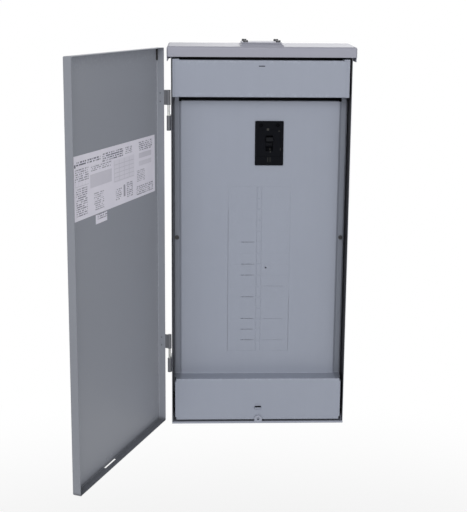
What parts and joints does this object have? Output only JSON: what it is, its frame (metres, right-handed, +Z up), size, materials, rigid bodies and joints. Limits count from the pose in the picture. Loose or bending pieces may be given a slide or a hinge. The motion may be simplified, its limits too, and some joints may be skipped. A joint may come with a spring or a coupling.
{
  "type": "subpanel enclosure",
  "caption": "Outdoor wall-mounted load centre: sheet-metal body with rain hood, side-hinged pan door, stepped dead front with twistouts, main breaker, bus and terminal bars.",
  "frame": {"origin": "centre of the four wall holes, on the outside face of the back", "axes": "+X to the viewer's right, -Y out of the front, +Y into the wall, +Z up"},
  "size_m": [0.5796, 0.4735, 0.861],
  "materials": {
    "enclosure_paint": "satin grey powder coat",
    "hood_paint": "satin grey powder coat",
    "cover_paint": "satin grey powder coat",
    "door_paint": "semi-gloss grey powder coat",
    "hinge_paint": "satin grey paint on rolled steel",
    "zinc_plate": "zinc plated steel",
    "dark_screw": "blackened steel",
    "tin_plate": "tin-plated aluminium",
    "lug_aluminium": "plain extruded aluminium",
    "black_plastic": "moulded thermoset",
    "handle_plastic": "moulded nylon",
    "grey_plastic": "moulded nylon",
    "gasket_rubber": "foam rubber",
    "green_screw": "green dyed zinc",
    "label_paper": "printed vinyl label"
  },
  "bodies": {
    "enclosure": {"body_wrap": "enclosure_paint", "bottom_plate": "enclosure_paint", "knockout_discs": "enclosure_paint", "rain_hood": "hood_paint", "hub_plate": "hood_paint", "hub_gasket": "gasket_rubber", "hub_screws": "dark_screw", "left_rail": "cover_paint", "right_rail": "cover_paint", "rail_screws": "zinc_plate", "gutter_cover": "cover_paint", "breaker_cover": "cover_paint", "twistouts_left": "cover_paint", "twistouts_right": "cover_paint", "cover_screws": "dark_screw", "body_hinge_upper": "hinge_paint", "body_hinge_lower": "hinge_paint", "hinge_pins": "zinc_plate", "body_hinge_rivets": "hinge_paint", "interior_pan": "zinc_plate", "interior_screws": "zinc_plate", "bus_base": "black_plastic", "bus_bar_a": "tin_plate", "bus_bar_b": "tin_plate", "bus_screws": "zinc_plate", "neutral_bar_left": "lug_aluminium", "neutral_bar_right": "lug_aluminium", "neutral_bar_screws": "zinc_plate", "neutral_feet": "grey_plastic", "neutral_strap": "tin_plate", "neutral_lug": "lug_aluminium", "neutral_lug_screw": "zinc_plate", "ground_bar": "lug_aluminium", "ground_bar_feet": "zinc_plate", "ground_bar_screws": "zinc_plate", "bonding_screw": "green_screw", "breaker_case": "black_plastic", "breaker_face": "black_plastic", "handle_pin": "zinc_plate", "line_lugs": "lug_aluminium", "line_lug_screws": "zinc_plate", "breaker_bracket": "zinc_plate", "breaker_bracket_screws": "zinc_plate"},
    "door": {"door_hinge_upper": "hinge_paint", "door_hinge_lower": "hinge_paint", "door_hinge_rivets": "hinge_paint", "door_panel": "door_paint", "door_label": "label_paper", "door_sticker": "label_paper", "door_bumper": "gasket_rubber"},
    "handle": {"breaker_handle": "handle_plastic"}
  },
  "joints": [
    {"name": "door_hinge", "type": "hinge", "parent": "enclosure", "child": "door", "pos_m": [-0.1993, -0.1119, 0], "axis": [0, 0, 1], "range_deg": [-52, 112.7]},
    {"name": "handle_throw", "type": "hinge", "parent": "enclosure", "child": "handle", "pos_m": [0.02, -0.069, 0.2125], "axis": [1, 0, 0], "range_deg": [0, 50]}
  ]
}
